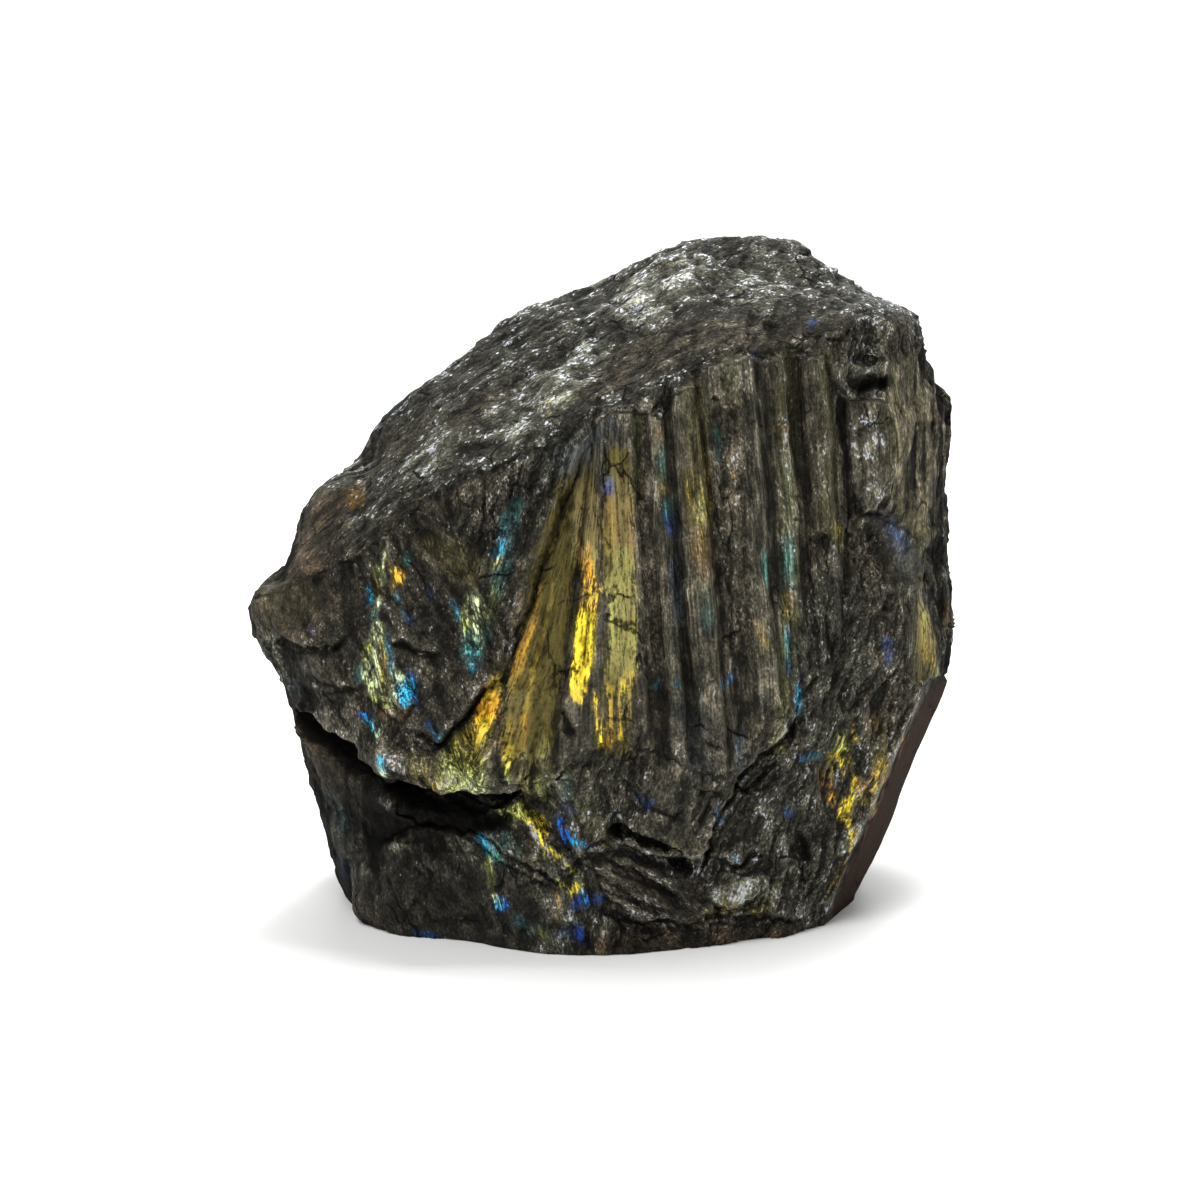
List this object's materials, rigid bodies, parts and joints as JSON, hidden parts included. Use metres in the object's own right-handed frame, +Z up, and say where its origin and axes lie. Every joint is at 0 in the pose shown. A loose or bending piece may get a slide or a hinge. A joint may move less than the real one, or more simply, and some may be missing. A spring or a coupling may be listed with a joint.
{
  "type": "rough labradorite chunk",
  "caption": "Rough upright lump of dark labradorite with a ribbed front face, a sloping granular top and a flat base that it stands on.",
  "frame": {"origin": "middle of the bounding box, on the flat base", "axes": "+Z up, +X to the right and +Y to the back, with the ribbed show face looking along -Y"},
  "size_m": [0.12, 0.078, 0.114],
  "materials": {
    "labradorite": "rough"
  },
  "bodies": {
    "root": {"labradorite_chunk": "labradorite"}
  },
  "joints": []
}
